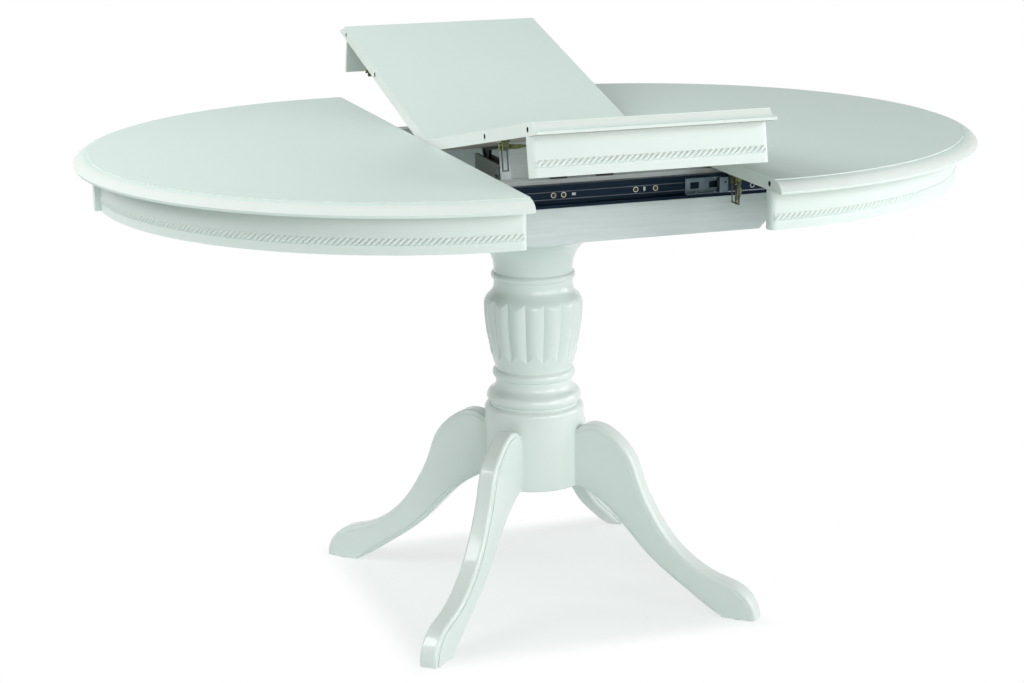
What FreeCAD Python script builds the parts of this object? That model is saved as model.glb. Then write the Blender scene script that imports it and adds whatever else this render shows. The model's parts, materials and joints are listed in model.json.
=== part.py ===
"""Butterfly leaf table: a round pedestal table, drawn open with its folding leaf half raised.

Frame: millimetres, +Z up, origin on the floor under the column axis.  The half tops draw apart along X
and the leaf folds about X, so its front wing lies on the -Y side and its back wing on the +Y side.
"""
import FreeCAD
import Part
import Sketcher
import math
import os
from types import SimpleNamespace

Vector = FreeCAD.Vector
Rotation = FreeCAD.Rotation
Placement = FreeCAD.Placement
AXES = {"X": Vector(1, 0, 0), "Y": Vector(0, 1, 0), "Z": Vector(0, 0, 1)}

SIZES = {
    # tops and leaf
    "top_height": 750, "top_thick": 18, "top_radius": 530, "leaf_width": 346, "leaf_play": 5,
    "edge_width": 23, "edge_step": 1.4, "edge_nose": 14, "edge_tuck": 2, "edge_round": 27,
    # apron, rope moulding and end block
    "apron_inset": 33, "apron_thick": 16, "apron_height": 56, "apron_round": 9,
    "rope_high": 10, "rope_proud": 2.4, "rope_rise": 18, "rope_stop": 6, "rope_seat": 3,
    "block_wide": 18, "block_proud": 9, "block_margin": 1,
    # rails, cross-members and rest pads
    "rail_lap": 127, "rail_thick": 25, "rail_high": 96, "rail_inset": 250, "rail_drop": 4,
    "rail_chamfer": 38, "cross_thick": 28, "cross_high": 48, "cross_place": 138,
    "pad_long": 25, "pad_wide": 14, "pad_right": 18, "pad_left": 54, "pad_gap": 0.3,
    # ball-bearing slides
    "slide_high": 34, "slide_deep": 12, "slide_wall": 1.5, "slide_drop": 27, "slide_lip": 4.5,
    "runner_high": 24, "runner_step": 0.5, "runner_race": 16, "runner_back": 3.5,
    "runner_start": 12, "runner_end_gap": 6, "ball_gap": 0.3,
    "retainer_length": 160, "retainer_lead": 50, "retainer_wall": 1, "retainer_gap": 0.5,
    "retainer_ear": 2, "retainer_edge": 2.5, "ball_pitch": 30, "window_long": 14, "window_high": 10,
    "cleat_start": 127, "cleat_end_gap": 10, "cleat_thick": 30, "cleat_high": 42,
    "screw_radius": 2, "screw_head": 4, "screw_length": 16,
    "socket_radius": 2.6, "socket_deep": 0.9, "runner_screw_margin": 15,
    "slide_screw_first": -65, "slide_screw_second": -49.5, "slide_screw_third": 62.5,
    "slide_screw_fourth": 93.5, "slide_slot_left": -33.5, "slide_slot_right": 76.5,
    "slide_slot_long": 6.5, "slide_slot_short": 4,
    # pedestal plate and its screws
    "plate_size": 300, "plate_thick": 18, "plate_screw_place": 45, "plate_screw_radius": 3,
    "plate_screw_head": 6, "plate_screw_head_high": 3.5, "plate_screw_length": 50,
    # column, from the floor up; its levels above the drum are shares, below
    "column_foot": 185, "column_radius": 80, "column_ease": 4, "drum_ease": 8, "drum_top": 315,
    "groove_radius": 71.5, "torus_radius": 76, "waist_radius": 61.5, "ring_radius": 66.5,
    "vase_foot_radius": 62.5, "vase_belly_radius": 79.5, "vase_bow": 3.8, "neck_radius": 63,
    "reed_deep": 4.2, "reed_sunk": 0.6, "collar_radius": 67.5, "flare_radius": 98,
    # legs, their dowels and glides
    "leg_reach": 306, "leg_crest": 288, "leg_thick": 32, "leg_inset": 8, "leg_relief": 1.5,
    "leg_ease": 5, "leg_root": 12, "dowel_radius": 5, "dowel_depth": 25, "dowel_low": 212, "dowel_high": 258,
    "glide_radius": 14, "glide_high": 1.5, "glide_place": 356,
    # leaf carrier, quadrant plates and batten
    "station_place": 60, "cheek_thick": 5, "cheek_gap": 6, "cheek_reach": 72, "cheek_drop": 20,
    "carrier_base": 4, "carrier_reach": 80,
    "pin_radius": 4, "pin_head": 6, "pin_head_high": 3, "pin_over": 0.5, "pin_swing": 70, "slot_gap": 0.2,
    "quadrant_thick": 4, "quadrant_gap": 1.5, "quadrant_rim": 11,
    "foot_start": 26, "foot_length": 64, "foot_wide": 24, "foot_thick": 4,
    "batten_gap": 15, "batten_side_gap": 6, "batten_deep": 50, "batten_high": 62,
    # alignment pins and bushes
    "peg_radius": 3, "peg_sunk": 20, "peg_proud": 4.5, "peg_inset": 40, "peg_pitch": 190,
    "bush_radius": 4, "bush_length": 14, "bush_gap": 0.2,
    # leaf locks
    "lock_inset": 170, "lock_long": 14, "lock_wide": 18, "lock_plate": 3, "ear_thick": 3,
    "ear_drop": 11, "ear_long": 10, "lock_setback": 8, "wire_radius": 1.1, "wire_gap": 0.1, "bail_half": 12,
    "bail_length": 32, "bail_drop": 10, "keeper_setback": 8, "keeper_long": 5, "keeper_wide": 10,
    "keeper_drop": 14, "keeper_plate_long": 26, "keeper_plate_wide": 18, "keeper_edge": 3,
    # one overrun for every cut
    "overrun": 2,
}
# degrees: how far each wing is raised and its catch swung in, how the reeds are turned on the column, and
# where the pins and ends of the quadrant plates lie below a wing
ANGLES = {
    "front_lift": 11.2, "back_lift": 14.2, "front_catch": 0, "back_catch": 80, "reed_turn": -6.1,
    "pin_first": 42, "pin_second": 60, "slot_sweep": 80, "quadrant_end": 8.5,
}
LEG_ANGLES = {"leg_back_right": 46, "leg_back_left": 136, "leg_front_left": 226, "leg_front_right": 316}
REED_COUNT = 16
RUNNER_SCREW_COUNT = 3
# levels of the column as shares of its height from the top of the drum to the pedestal plate
COLUMN_LEVEL_SHARES = {
    "groove": 0.013, "torus": 0.04, "waist": 0.12, "ring_foot": 0.144, "ring_top": 0.197, "vase_foot": 0.216,
    "vase_belly": 0.532, "shoulder": 0.542, "neck": 0.662, "collar_foot": 0.686, "collar_top": 0.726,
    "flare": 0.913,
}
# outline of a leg: shares of its reach from the column and of its crest height
LEG_UPPER_SHARES = (
    (0, 0.975), (0.1, 1.01), (0.232, 0.94), (0.314, 0.833), (0.356, 0.71), (0.415, 0.577),
    (0.505, 0.43), (0.63, 0.305), (0.785, 0.22), (0.905, 0.177), (0.975, 0.105), (1, 0),
)
LEG_LOWER_SHARES = ((0.807, 0), (0.71, 0.065), (0.605, 0.14), (0.415, 0.288), (0.213, 0.507), (0, 0.65))
# levels of the reeds between the foot and the belly of the vase, and how far they run out of it there,
# as shares of their depth
REED_LEVEL_SHARES = (0.07, 0.14, 0.22, 0.31, 0.5, 0.7, 0.87, 1, 1.14, 1.28)
REED_RUN_OUT_SHARES = (2.2, 1.2, 0.4, 0, 0, 0, 0, 0, 0, 0)
HALF_SHARE = 0.5


class Length:
    """A size with the sheet expression that gives it, so that sums of sizes stay bound to the sheet."""

    def __init__(self, value, text):
        self.value = value
        self.text = text

    def _with(self, other, sign, result):
        if not isinstance(other, Length):
            other = Length(other, repr(other))
        return Length(result(self.value, other.value), f"({self.text} {sign} {other.text})")

    def __add__(self, other):
        return self._with(other, "+", lambda a, b: a + b)

    def __sub__(self, other):
        return self._with(other, "-", lambda a, b: a - b)

    def __mul__(self, factor):
        return self._with(factor, "*", lambda a, b: a * b)

    def __truediv__(self, factor):
        return self._with(factor, "/", lambda a, b: a / b)

    def __neg__(self):
        return self * -1

    def root(self):
        return Length(math.sqrt(self.value), f"sqrt({self.text})")


doc = FreeCAD.newDocument("butterfly_leaf_table")
sheet = doc.addObject("Spreadsheet::Sheet", "sizes")
for row, (name, number) in enumerate(SIZES.items(), start=1):
    sheet.set(f"A{row}", name)
    sheet.set(f"B{row}", str(number))
    sheet.setAlias(f"B{row}", name)
doc.recompute()
d = SimpleNamespace(**{name: Length(float(number), "sizes." + name) for name, number in SIZES.items()})
ZERO = Length(0.0, "0")
nodes = []

# places that several pieces share
under = d.top_height - d.top_thick
split = d.leaf_width / 2 + d.leaf_play
apron_radius = d.top_radius - d.apron_inset
apron_foot = under - d.apron_height
rope_height = apron_foot + d.rope_rise
rail_top = under - d.rail_drop
rail_foot = rail_top - d.rail_high
rail_reach = d.top_radius - d.rail_inset
rail_inner = rail_reach - d.rail_thick
rail_length = d.leaf_width + d.rail_lap * 2
slide_height = under - d.slide_drop
slide_face = rail_reach + d.slide_deep
runner_face = slide_face + d.runner_step + d.slide_wall
plate_foot = rail_foot - d.plate_thick
peg_outer = d.top_radius - d.peg_inset
peg_places = (peg_outer - d.peg_pitch, peg_outer)
lock_place = d.top_radius - d.lock_inset
peg_height = d.top_height - d.top_thick / 2
lock_axis = under - d.bail_drop
fold = Vector(0, 0, d.top_height.value)
TURNS = {"right": 0, "left": 180}
SIDES = {"front": -1, "back": 1}


def node(label, item):
    """Name a finished sub-part; its label is its file name."""
    item.Label = label
    nodes.append(item)
    return item


def bind_base(item, x, y, z):
    for axis, place in zip("xyz", (x, y, z)):
        item.setExpression("Placement.Base." + axis, place.text)


def box(x, y, z):
    """A block from (start, length) pairs."""
    item = doc.addObject("Part::Box", "block")
    for name, (start, length) in zip(("Length", "Width", "Height"), (x, y, z)):
        item.setExpression(name, length.text)
    bind_base(item, x[0], y[0], z[0])
    return item


def across(start, length, side):
    """The (start, length) pair of a block that begins that far out on one side of the middle."""
    return (start, length) if side > 0 else (-(start + length), length)


def rod(axis, radius, length, x, y, z):
    """A cylinder from a start point along one axis."""
    item = doc.addObject("Part::Cylinder", "rod")
    item.Placement = Placement(Vector(), Rotation(AXES["Z"], AXES[axis]))
    item.setExpression("Radius", radius.text)
    item.setExpression("Height", length.text)
    bind_base(item, x, y, z)
    return item


def join(pieces):
    item = doc.addObject("Part::MultiFuse", "join")
    item.Shapes = pieces
    return item


def group(pieces):
    item = doc.addObject("Part::Compound", "group")
    item.Links = pieces
    return item


def cut(base, tools):
    item = doc.addObject("Part::Cut", "cut")
    item.Base = base
    item.Tool = tools[0] if len(tools) == 1 else group(tools)
    return item


def solid(shape):
    """A sub-part whose shape is drawn by the functions below from the sheet's sizes."""
    item = doc.addObject("Part::Feature", "solid")
    item.Shape = shape
    return item


def arc_middle(start, end, radius, left):
    """The middle of the shorter arc between two points; left tells which side it bulges to."""
    chord = end - start
    across_chord = Vector(-chord.y, chord.x, 0).normalize() * (1 if left else -1)
    half = chord.Length / 2
    rise = radius - math.sqrt(max(radius ** 2 - half ** 2, 0))
    return start + chord * HALF_SHARE + across_chord * rise


def sketch(body, plane, outline, arcs=None):
    """A closed outline of bound points; arcs gives (radius, bulges left) for the side after a point."""
    item = body.newObject("Sketcher::SketchObject", "outline")
    support = next(f for f in body.Origin.OriginFeatures if f.Role == plane)
    item.AttachmentSupport = [(support, "")]
    item.MapMode = "FlatFace"
    points = [Vector(x.value, y.value, 0) for x, y in outline]
    ends = []
    for place, start in enumerate(points):
        end = points[(place + 1) % len(points)]
        if arcs and place in arcs:
            radius, left = arcs[place]
            item.addGeometry(Part.Arc(start, arc_middle(start, end, radius.value, left), end))
            bend = item.addConstraint(Sketcher.Constraint("Radius", place, radius.value))
            item.setExpression(f"Constraints[{bend}]", radius.text)
        else:
            item.addGeometry(Part.LineSegment(start, end))
        first = min((1, 2), key=lambda end_point: item.getPoint(place, end_point).distanceToPoint(start))
        ends.append((first, 3 - first))
    for place, (x, y) in enumerate(outline):
        last = (place - 1) % len(outline)
        item.addConstraint(Sketcher.Constraint("Coincident", last, ends[last][1], place, ends[place][0]))
        for kind, line, size in (("DistanceX", -2, x), ("DistanceY", -1, y)):
            if size.value == 0:
                item.addConstraint(Sketcher.Constraint("PointOnObject", place, ends[place][0], line))
                continue
            held = Sketcher.Constraint(kind, -1, 1, place, ends[place][0], size.value)
            item.setExpression(f"Constraints[{item.addConstraint(held)}]", size.text)
    return item


def padded(plane, outline, length, arcs=None):
    """A body of one outline, padded to both sides of its plane."""
    body = doc.addObject("PartDesign::Body", "body")
    pad = body.newObject("PartDesign::Pad", "pad")
    pad.Profile = sketch(body, plane, outline, arcs)
    pad.Midplane = True
    pad.setExpression("Length", length.text)
    return body


def turned(outline, angle, arcs=None):
    """A body of one outline, turned about Z to both sides of its plane."""
    body = doc.addObject("PartDesign::Body", "body")
    profile = sketch(body, "XZ_Plane", outline, arcs)
    turn = body.newObject("PartDesign::Revolution", "turn")
    turn.Profile = profile
    turn.ReferenceAxis = (profile, ["V_Axis"])
    turn.Midplane = angle < 360
    turn.Angle = angle
    return body


def rectangle(x, y):
    """The outline of a rectangle from two (low, high) pairs."""
    return [(x[0], y[0]), (x[1], y[0]), (x[1], y[1]), (x[0], y[1])]


def on_half(pieces, half):
    """Turn pieces drawn for the right half to their own half."""
    item = group(pieces)
    item.Placement = Placement(Vector(), Rotation(AXES["Z"], TURNS[half]))
    return item


def lifted(pieces, wing):
    """Swing pieces of a wing, drawn flat, up about the fold."""
    item = group(pieces)
    angle = ANGLES[wing + "_lift"] * SIDES[wing]
    item.Placement = Placement(Vector(), Rotation(AXES["X"], angle), fold)
    return item


def edge_outline():
    """Section of a top from its middle to its stepped ovolo edge."""
    step = d.top_radius - d.edge_width
    points = [
        (ZERO, under),
        (d.top_radius - d.edge_tuck, under),
        (d.top_radius, d.top_height - d.edge_nose),
        (step, d.top_height - d.edge_step),
        (step, d.top_height),
        (ZERO, d.top_height),
    ]
    return points, {2: (d.edge_round, False)}


# Pedestal
def level(name):
    """A level of the column above its drum."""
    return d.drum_top + (plate_foot - d.drum_top) * COLUMN_LEVEL_SHARES[name]


def bulge(half, rise):
    """Radius of an arc from half its chord and its rise."""
    return (half * half + rise * rise) / (rise * 2)


def swing(rise, reach):
    """Radius of the two equal arcs of an ogee that starts and ends upright."""
    return bulge(rise / 2, reach / 2)


def vase_radius(height):
    """Radius of the smooth vase below its belly; above that the reeds run straight up."""
    foot, belly = level("vase_foot"), level("vase_belly")
    start = Vector(d.vase_foot_radius.value, foot.value, 0)
    end = Vector(d.vase_belly_radius.value, belly.value, 0)
    if height >= end.y:
        return end.x
    curve = vase_curve().value
    middle = arc_middle(start, end, curve, False)
    outward = (middle - (start + end) * HALF_SHARE).normalize()
    centre = middle - outward * curve
    return centre.x + math.sqrt(curve ** 2 - (height - centre.y) ** 2)


def vase_curve():
    """Radius of the bowed side of the vase, from its foot to its belly."""
    rise = level("vase_belly") - level("vase_foot")
    reach = d.vase_belly_radius - d.vase_foot_radius
    chord = (rise * rise + reach * reach).root()
    return bulge(chord / 2, d.vase_bow)


def reeds():
    """Loft of a ring of convex reeds that runs out of the vase at both ends."""
    foot, belly = level("vase_foot").value, level("vase_belly").value
    step = 2 * math.pi / REED_COUNT
    rings = []
    for share, run_out in zip(REED_LEVEL_SHARES, REED_RUN_OUT_SHARES):
        height = foot + share * (belly - foot)
        crest = vase_radius(height) - d.reed_sunk.value + run_out * d.reed_deep.value
        valley = crest - d.reed_deep.value

        def spot(radius, angle):
            return Vector(radius * math.cos(angle), radius * math.sin(angle), height)

        edges = []
        for reed in range(REED_COUNT):
            angle = reed * step + math.radians(ANGLES["reed_turn"])
            arc = Part.Arc(spot(valley, angle), spot(crest, angle + step / 2), spot(valley, angle + step))
            edges.append(arc.toShape())
        rings.append(Part.Wire(edges))
    return Part.makeLoft(rings, True, False)


def vase():
    """Bowed vase with a smooth ogee shoulder; the reeds are carved into it below the shoulder."""
    foot, belly, shoulder, neck = (level(name) for name in ("vase_foot", "vase_belly", "shoulder", "neck"))
    reach = d.vase_belly_radius - d.neck_radius
    middle = (d.neck_radius + reach / 2, (shoulder + neck) / 2)
    outline = [
        (ZERO, foot),
        (d.vase_foot_radius, foot),
        (d.vase_belly_radius, belly),
        (d.vase_belly_radius, shoulder),
        middle,
        (d.neck_radius, neck),
        (ZERO, neck),
    ]
    ogee = swing(neck - shoulder, reach)
    smooth = turned(outline, 360, {1: (vase_curve(), False), 3: (ogee, False), 4: (ogee, True)})
    kept = reeds()
    start, length = kept.BoundBox.ZMin, kept.BoundBox.ZLength
    room = (d.vase_belly_radius + d.overrun).value
    waste = Part.makeCylinder(room, length, Vector(0, 0, start)).cut(kept)
    return cut(smooth, [solid(waste)])


def column():
    """Turned column: plain drum, torus, ring, reeded vase, collar and flared head."""
    groove, torus, waist = level("groove"), level("torus"), level("waist")
    ring_foot, ring_top = level("ring_foot"), level("ring_top")
    reach = d.torus_radius - d.waist_radius
    outline = [
        (ZERO, d.column_foot),
        (d.column_radius - d.column_ease, d.column_foot),
        (d.column_radius, d.column_foot + d.column_ease),
        (d.column_radius, d.drum_top - d.drum_ease),
        (d.column_radius - d.drum_ease, d.drum_top),
        (d.groove_radius, d.drum_top),
        (d.groove_radius, groove),
        (d.torus_radius, torus),
        (d.waist_radius + reach / 2, (torus + waist) / 2),
        (d.waist_radius, waist),
        (d.waist_radius, ring_foot),
        (d.waist_radius, ring_top),
        (d.vase_foot_radius, level("vase_foot")),
        (ZERO, level("vase_foot")),
    ]
    ogee = swing(waist - torus, reach)
    arcs = {
        1: (d.column_ease, False),
        3: (d.drum_ease, False),
        6: (bulge(torus - groove, d.torus_radius - d.groove_radius), False),
        7: (ogee, False),
        8: (ogee, True),
        10: (bulge((ring_top - ring_foot) / 2, d.ring_radius - d.waist_radius), False),
    }
    lower = turned(outline, 360, arcs)
    collar_foot, collar_top, flare = level("collar_foot"), level("collar_top"), level("flare")
    head = [
        (ZERO, level("neck")),
        (d.neck_radius, level("neck")),
        (d.neck_radius, collar_foot),
        (d.neck_radius, collar_top),
        (d.flare_radius, flare),
        (d.flare_radius, plate_foot),
        (ZERO, plate_foot),
    ]
    collar = bulge((collar_top - collar_foot) / 2, d.collar_radius - d.neck_radius)
    upper = turned(head, 360, {2: (collar, False), 3: (flare - collar_top, True)})
    return cut(join([lower, vase(), upper]), dowels() + plate_screw_tools())


def dowels():
    """Two dowels on the line of each leg, half in the column and half in the leg."""
    pieces = []
    for angle in map(math.radians, LEG_ANGLES.values()):
        out = Vector(math.cos(angle), math.sin(angle), 0)
        for height in (d.dowel_low, d.dowel_high):
            pin = doc.addObject("Part::Cylinder", "dowel")
            pin.setExpression("Radius", d.dowel_radius.text)
            pin.setExpression("Height", (d.dowel_depth * 2).text)
            start = out * (d.column_radius - d.dowel_depth).value + Vector(0, 0, height.value)
            pin.Placement = Placement(start, Rotation(AXES["Z"], out))
            pieces.append(pin)
    return pieces


def leg_point(share):
    height = max(share[1] * d.leg_crest.value, d.glide_high.value)
    return Vector(d.column_radius.value + share[0] * d.leg_reach.value, 0, height)


def leg_curve(shares, inset):
    """A smooth edge of a leg through its share points, moved in by an inset."""
    points = [leg_point(share) for share in shares]
    curve = Part.BSplineCurve()
    curve.interpolate(points)
    if not inset:
        return curve
    moved = []
    for point in points:
        along = curve.tangent(curve.parameter(point))[0]
        spot = point + Vector(along.z, 0, -along.x) * inset
        if point.z == d.glide_high.value:
            spot.z = point.z
        moved.append(spot)
    inner = Part.BSplineCurve()
    inner.interpolate(moved)
    return inner


def leg_outline(inset=0):
    """Scrolled outline of a leg in its own upright plane, from the column to the toe and back."""
    upper = leg_curve(LEG_UPPER_SHARES, inset)
    lower = leg_curve(LEG_LOWER_SHARES, inset)
    start, end = upper.StartPoint, lower.EndPoint
    root = d.column_radius.value - d.leg_root.value
    corners = [end, Vector(root, 0, end.z), Vector(root, 0, start.z), start]
    floor = Part.makeLine(upper.EndPoint, lower.StartPoint)
    return Part.Wire([upper.toShape(), floor, lower.toShape(), *Part.makePolygon(corners).Edges])


def leg(angle):
    """A flat leg with eased edges and a fine step along its outline, coped to the column."""
    outline = leg_outline()
    half = d.leg_thick.value / 2 - d.leg_relief.value
    shape = Part.Face(outline).extrude(Vector(0, 2 * half, 0))
    shape.translate(Vector(0, -half, 0))
    eased = [edge for edge in shape.Edges if edge.CenterOfMass.x > d.column_radius.value
             and edge.BoundBox.ZMax > d.glide_high.value + d.leg_ease.value
             and abs(abs(edge.CenterOfMass.y) - half) < d.leg_relief.value / 2]
    shape = shape.makeFillet(d.leg_ease.value, eased)
    core = Part.Face(leg_outline(d.leg_inset.value)).extrude(Vector(0, d.leg_thick.value, 0))
    core.translate(Vector(0, -d.leg_thick.value / 2, 0))
    board = solid(shape.fuse(core))
    board.Placement = Placement(Vector(), Rotation(AXES["Z"], angle))
    drum = rod("Z", d.column_radius, d.drum_top, ZERO, ZERO, ZERO)
    return cut(board, [drum] + dowels())


def glides():
    pieces = []
    for angle in map(math.radians, LEG_ANGLES.values()):
        x = d.glide_place * math.cos(angle)
        y = d.glide_place * math.sin(angle)
        pieces.append(rod("Z", d.glide_radius, d.glide_high, x, y, ZERO))
    return group(pieces)


def plate_screw_tools():
    """Screws down through the pedestal plate into the head of the column."""
    pieces = []
    for x_side in (-1, 1):
        for y_side in (-1, 1):
            x = d.plate_screw_place * x_side
            y = d.plate_screw_place * y_side
            tip = rail_foot - d.plate_screw_length
            shank = rod("Z", d.plate_screw_radius, d.plate_screw_length, x, y, tip)
            head_foot = rail_foot - d.plate_screw_head_high
            head = rod("Z", d.plate_screw_head, d.plate_screw_head_high, x, y, head_foot)
            pieces.append(join([shank, head]))
    return pieces


def pedestal():
    node("column", column())
    for label, angle in LEG_ANGLES.items():
        node(label, leg(angle))
    node("leg_dowels", group(dowels()))
    node("foot_glides", glides())
    half = -(d.plate_size / 2)
    board = box((half, d.plate_size), (half, d.plate_size), (plate_foot, d.plate_thick))
    node("pedestal_plate", cut(board, plate_screw_tools()))
    node("plate_screws", group(plate_screw_tools()))


# Rails, cross-members and slides
def rail(side):
    half = rail_length / 2
    shoulder = half - d.rail_chamfer
    ramp = rail_foot + d.rail_chamfer
    outline = [(-shoulder, rail_foot), (shoulder, rail_foot), (half, ramp),
               (half, rail_top), (-half, rail_top), (-half, ramp)]
    body = padded("XZ_Plane", outline, d.rail_thick)
    body.setExpression("Placement.Base.y", ((rail_reach - d.rail_thick / 2) * side).text)
    return cut(body, filled(slide_screws(side)))


def slide_screws(side):
    """Head, shank and socket of each flush screw through the outer channel into the rail."""
    face = rail_reach + d.slide_wall
    spans = (
        (d.screw_head, face - d.slide_wall, d.slide_wall),
        (d.screw_radius, face - d.screw_length, d.screw_length - d.slide_wall),
        (d.socket_radius, face - d.socket_deep, d.socket_deep + d.overrun),
    )
    screws = []
    for x in (d.slide_screw_first, d.slide_screw_second, d.slide_screw_third, d.slide_screw_fourth):
        rods = []
        for radius, begin, length in spans:
            y = across(begin, length, side)
            rods.append(rod("Y", radius, y[1], x, y[0], slide_height))
        screws.append(rods)
    return screws


def filled(screws):
    """The holes that screws need: their heads and shanks, without the sockets."""
    return [join([head, shank]) for head, shank, socket in screws]


def socketed(screws):
    return [cut(join([head, shank]), [socket]) for head, shank, socket in screws]


def slide_slots(side):
    """Two slots in the web of the outer channel, one lying and one standing."""
    web = across(rail_reach - d.overrun, d.slide_wall + d.overrun * 2, side)
    pieces = []
    for place, wide, high in ((d.slide_slot_left, d.slide_slot_long, d.slide_slot_short),
                              (d.slide_slot_right, d.slide_slot_short, d.slide_slot_long)):
        pieces.append(box((place - wide / 2, wide), web, (slide_height - high / 2, high)))
    return pieces


def outer_channel(side):
    """Section of the outer channel: a web on the rail, two flanges and two lips."""
    low = slide_height - d.slide_high / 2
    high = slide_height + d.slide_high / 2
    wall = d.slide_wall
    back, face = rail_reach, slide_face
    outline = [
        (back, low), (face, low), (face, low + d.slide_lip), (face - wall, low + d.slide_lip),
        (face - wall, low + wall), (back + wall, low + wall), (back + wall, high - wall),
        (face - wall, high - wall), (face - wall, high - d.slide_lip), (face, high - d.slide_lip),
        (face, high), (back, high),
    ]
    body = padded("YZ_Plane", [(y * side, z) for y, z in outline], rail_length)
    return cut(body, filled(slide_screws(side)) + slide_slots(side))


def inside_apron(place):
    """How far the inner face of a bent apron lies from the split edge, at a place across the table."""
    inner = apron_radius - d.apron_thick
    return split + (inner * inner - place * place).root()


cleat_start = split + d.cleat_start
cleat_length = inside_apron(runner_face + d.cleat_thick) - d.cleat_end_gap - cleat_start
runner_start = split + d.runner_start
runner_length = inside_apron(runner_face) - d.runner_end_gap - runner_start


def runner_screws(side):
    """Flush screws through a runner into its cleat."""
    pitch = (cleat_length - d.runner_screw_margin * 2) / (RUNNER_SCREW_COUNT - 1)
    pieces = []
    for place in range(RUNNER_SCREW_COUNT):
        x = cleat_start + d.runner_screw_margin + pitch * place
        head = across(runner_face - d.slide_wall, d.slide_wall, side)
        shank = across(runner_face, d.screw_length, side)
        pieces.append(join([rod("Y", d.screw_head, head[1], x, head[0], slide_height),
                            rod("Y", d.screw_radius, shank[1], x, shank[0], slide_height)]))
    return pieces


def runner(side):
    """Section of a runner: a tall web outside the lips, with two race flanges inside the channel."""
    wall = d.slide_wall
    race = d.runner_race / 2
    tall = d.runner_high / 2
    web = runner_face - wall
    back = rail_reach + d.runner_back
    outline = [
        (runner_face, slide_height - tall), (runner_face, slide_height + tall), (web, slide_height + tall),
        (web, slide_height + race), (back, slide_height + race), (back, slide_height + race - wall),
        (web, slide_height + race - wall), (web, slide_height - race + wall),
        (back, slide_height - race + wall), (back, slide_height - race), (web, slide_height - race),
        (web, slide_height - tall),
    ]
    body = padded("YZ_Plane", [(y * side, z) for y, z in outline], runner_length)
    body.setExpression("Placement.Base.x", (runner_start + runner_length / 2).text)
    return cut(body, runner_screws(side))


def cleat(side):
    board = box((cleat_start, cleat_length), across(runner_face, d.cleat_thick, side),
                (under - d.cleat_high, d.cleat_high))
    return cut(board, runner_screws(side))


ball_room = d.slide_high / 2 - d.slide_wall - d.runner_race / 2
ball_radius = ball_room / 2 - d.ball_gap
ball_rise = d.runner_race / 2 + ball_room / 2
retainer_back = rail_reach + d.slide_wall + d.retainer_gap
retainer_web = retainer_back + d.retainer_wall
ball_place = (retainer_web + slide_face - d.slide_wall) / 2
retainer_start = runner_start - d.retainer_lead


def ball_spots(side):
    """Where the balls of one slide lie: two rows, evenly spaced along the retainer."""
    count = int(SIZES["retainer_length"] // SIZES["ball_pitch"])
    for place in range(count):
        x = retainer_start + d.ball_pitch * (place + HALF_SHARE)
        for row in (-1, 1):
            yield x, ball_place * side, slide_height + ball_rise * row


def ball(x, y, z):
    item = doc.addObject("Part::Sphere", "ball")
    item.setExpression("Radius", ball_radius.text)
    bind_base(item, x, y, z)
    return item


def retainer(side):
    """A strip with two ears that the balls sit in, and windows between the rows."""
    low = slide_height - d.slide_high / 2 + d.retainer_edge
    high = slide_height + d.slide_high / 2 - d.retainer_edge
    ear = slide_face - d.slide_wall - d.retainer_gap
    half = d.retainer_ear / 2
    upper, lower = slide_height + ball_rise, slide_height - ball_rise
    outline = [
        (retainer_back, low), (retainer_web, low), (retainer_web, lower - half), (ear, lower - half),
        (ear, lower + half), (retainer_web, lower + half), (retainer_web, upper - half),
        (ear, upper - half), (ear, upper + half), (retainer_web, upper + half), (retainer_web, high),
        (retainer_back, high),
    ]
    body = padded("YZ_Plane", [(y * side, z) for y, z in outline], d.retainer_length)
    body.setExpression("Placement.Base.x", (retainer_start + d.retainer_length / 2).text)
    tools = []
    for x, y, z in ball_spots(side):
        reach = ball_radius + d.ball_gap
        tools.append(rod("Z", reach, d.retainer_ear * 2, x, y, z - d.retainer_ear))
        web = across(retainer_back - d.overrun, d.retainer_wall + d.overrun * 2, side)
        if z.value > slide_height.value:
            window = (slide_height - d.window_high / 2, d.window_high)
            tools.append(box((x - d.window_long / 2, d.window_long), web, window))
    return cut(body, tools)


def frame():
    for label, side in SIDES.items():
        node(label + "_rail", rail(side))
    for label, side in (("left", -1), ("right", 1)):
        x = across(d.cross_place - d.cross_thick / 2, d.cross_thick, side)
        node(label + "_cross_member", box(x, (-rail_inner, rail_inner * 2), (rail_foot, d.cross_high)))
    node("outer_slides", group([outer_channel(side) for side in SIDES.values()]))
    node("slide_screws", group(socketed(slide_screws(-1) + slide_screws(1))))
    pads = []
    for side in SIDES.values():
        y = across(rail_reach - d.rail_thick / 2 - d.pad_wide / 2, d.pad_wide, side)
        for x in (d.pad_right - d.pad_long / 2, -(d.pad_left + d.pad_long / 2)):
            pads.append(box((x, d.pad_long), y, (rail_top, d.rail_drop - d.pad_gap)))
    node("rest_pads", group(pads))
    for half in TURNS:
        balls = [ball(*spot) for side in SIDES.values() for spot in ball_spots(side)]
        node(half + "_retainers", on_half([retainer(-1), retainer(1), *balls], half))


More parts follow.
